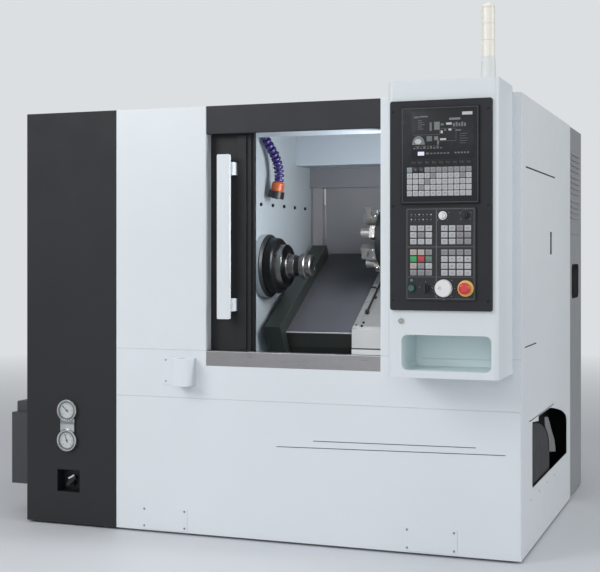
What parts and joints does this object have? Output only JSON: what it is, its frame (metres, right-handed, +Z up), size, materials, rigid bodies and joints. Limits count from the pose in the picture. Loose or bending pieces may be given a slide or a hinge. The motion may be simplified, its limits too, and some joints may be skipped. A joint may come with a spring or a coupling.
{
  "type": "cnc turning lathe",
  "caption": "Slant-bed turning centre in a full sheet-metal enclosure with a sliding front door, pendant control box, tool turret and rear electrical cabinet.",
  "frame": {"origin": "centre of the footprint on the floor, with the service box and the control box", "axes": "+X from the drive end to the control end along the spindle axis, +Y from the operator to the electrical cabinet, +Z up"},
  "size_m": [2.235, 2.0074, 2],
  "materials": {
    "white_paint": "fine powder coat, semi-matt",
    "charcoal_paint": "textured powder coat",
    "black_paint": "textured powder coat",
    "liner_paint": "smooth, oil-wetted",
    "cabinet_paint": "fine powder coat",
    "slide_cover_paint": "satin",
    "casting": "painted casting",
    "stainless": "brushed",
    "bright_steel": "ground",
    "dark_steel": "blackened",
    "black_plastic": "matt",
    "white_plastic": "satin",
    "key_plastic": "membrane keys",
    "red_plastic": "gloss",
    "green_plastic": "gloss",
    "screen": "glass-faced display",
    "window_glass": "clear",
    "belt_rubber": "matt",
    "hose_plastic": "moulded links",
    "orange_plastic": "moulded"
  },
  "bodies": {
    "machine": {"base_casting": "casting", "levelling_feet": "dark_steel", "guide_rails": "bright_steel", "headstock": "dark_steel", "spindle_bearings": "bright_steel", "spindle_motor": "black_paint", "drive_belt": "belt_rubber", "end_column": "charcoal_paint", "front_panel": "white_paint", "header_panel": "charcoal_paint", "skirt_panel": "white_paint", "right_side_panel": "white_paint", "rear_roof_cover": "white_paint", "door_sill": "stainless", "door_track": "bright_steel", "chamber_liner": "liner_paint", "chamber_hood": "liner_paint", "coolant_tank": "charcoal_paint", "bed_shield": "black_paint", "way_cover": "slide_cover_paint", "service_box": "charcoal_paint", "gun_holster": "white_paint", "control_box": "white_paint", "control_plate": "charcoal_paint", "display_unit": "black_plastic", "display_screen": "screen", "keyboard_keys": "key_plastic", "operator_panel": "black_plastic", "operator_keys": "key_plastic", "tower_base": "white_plastic", "tower_lens": "white_plastic", "gauge_cases": "bright_steel", "switch_housing": "black_plastic", "cabinet_shell": "cabinet_paint", "coolant_hose": "hose_plastic", "hose_nozzle": "orange_plastic"},
    "door": {"door_frame": "black_paint", "door_glass": "window_glass", "door_handle": "white_paint"},
    "spindle_rotor": {"spindle": "dark_steel", "collet_chuck": "bright_steel"},
    "motor_rotor": {"motor_pulley": "bright_steel"},
    "saddle_unit": {"saddle": "casting", "saddle_cover": "stainless"},
    "slide_unit": {"cross_slide": "casting"},
    "turret": {"turret_disc": "dark_steel", "tool_holders": "bright_steel"},
    "screw": {"ball_screw": "bright_steel"},
    "wheel": {"handwheel": "white_plastic"},
    "stop_button": {"estop_button": "red_plastic"},
    "left_knob": {"feed_knob": "white_plastic"},
    "right_knob": {"spindle_knob": "black_plastic"},
    "selector": {"axis_selector": "black_plastic"},
    "cycle_button": {"start_button": "green_plastic"},
    "key": {"key_switch": "bright_steel"},
    "lever": {"switch_lever": "white_plastic"},
    "needle_up": {"upper_needle": "black_plastic"},
    "needle_low": {"lower_needle": "black_plastic"},
    "rear_door": {"cabinet_door": "cabinet_paint"},
    "rear_latch": {"cabinet_latch": "black_plastic"}
  },
  "joints": [
    {"name": "door_slide", "type": "slide", "parent": "machine", "child": "door", "axis": [1, 0, 0], "range_m": [0, 0.545]},
    {"name": "spindle_spin", "type": "hinge", "parent": "machine", "child": "spindle_rotor", "pos_m": [-0.3475, -0.22075, 1.067], "axis": [1, 0, 0], "continuous": true},
    {"name": "motor_spin", "type": "hinge", "parent": "machine", "child": "motor_rotor", "pos_m": [-0.7475, -0.07475, 0.42], "axis": [1, 0, 0], "continuous": true},
    {"name": "z_slide", "type": "slide", "parent": "machine", "child": "saddle_unit", "axis": [1, 0, 0], "range_m": [-0.155, 0.1]},
    {"name": "x_slide", "type": "slide", "parent": "saddle_unit", "child": "slide_unit", "axis": [0, 0.866, 0.5], "range_m": [-0.06, 0.1]},
    {"name": "turret_index", "type": "hinge", "parent": "slide_unit", "child": "turret", "pos_m": [0.4525, -0.02676, 1.179], "axis": [1, 0, 0], "continuous": true},
    {"name": "screw_spin", "type": "hinge", "parent": "machine", "child": "screw", "pos_m": [0.4525, 0.11278, 0.92932], "axis": [1, 0, 0], "continuous": true},
    {"name": "handwheel_spin", "type": "hinge", "parent": "machine", "child": "wheel", "pos_m": [0.9005, -0.97875, 0.998], "axis": [0, -1, 0], "continuous": true},
    {"name": "stop_press", "type": "slide", "parent": "machine", "child": "stop_button", "axis": [0, 1, 0], "range_m": [0, 0.005]},
    {"name": "feed_turn", "type": "hinge", "parent": "machine", "child": "left_knob", "pos_m": [0.8975, -0.97875, 1.249], "axis": [0, -1, 0], "range_deg": [-150, 150]},
    {"name": "speed_turn", "type": "hinge", "parent": "machine", "child": "right_knob", "pos_m": [0.9765, -0.97875, 1.249], "axis": [0, -1, 0], "range_deg": [-135, 135]},
    {"name": "axis_turn", "type": "hinge", "parent": "machine", "child": "selector", "pos_m": [0.8365, -0.97875, 0.998], "axis": [0, -1, 0], "range_deg": [-60, 60]},
    {"name": "start_press", "type": "slide", "parent": "machine", "child": "cycle_button", "axis": [0, 1, 0], "range_m": [0, 0.003], "stiffness_N_per_m": 300},
    {"name": "key_turn", "type": "hinge", "parent": "machine", "child": "key", "pos_m": [0.7435, -0.95675, 0.882], "axis": [0, -1, 0], "range_deg": [0, 90]},
    {"name": "main_switch_turn", "type": "hinge", "parent": "machine", "child": "lever", "pos_m": [-0.7575, -0.66475, 0.168], "axis": [0, 1, 0], "range_deg": [-90, 0]},
    {"name": "upper_gauge_turn", "type": "hinge", "parent": "machine", "child": "needle_up", "pos_m": [-0.7485, -0.70675, 0.474], "axis": [0, 1, 0], "range_deg": [-85, 185]},
    {"name": "lower_gauge_turn", "type": "hinge", "parent": "machine", "child": "needle_low", "pos_m": [-0.7485, -0.70675, 0.351], "axis": [0, 1, 0], "range_deg": [-115, 155]},
    {"name": "cabinet_hinge", "type": "hinge", "parent": "machine", "child": "rear_door", "pos_m": [-0.3715, 0.97575, 0.85], "axis": [0, 0, 1], "range_deg": [0, 110]},
    {"name": "latch_turn", "type": "hinge", "parent": "rear_door", "child": "rear_latch", "pos_m": [1.0295, 0.98525, 0.9], "axis": [0, 1, 0], "range_deg": [0, 90]}
  ],
  "couplings": [
    {"joint": "motor_spin", "follows": "spindle_spin", "ratio": 1.4375},
    {"joint": "screw_spin", "follows": "z_slide", "rad_per_m": 628.32}
  ]
}
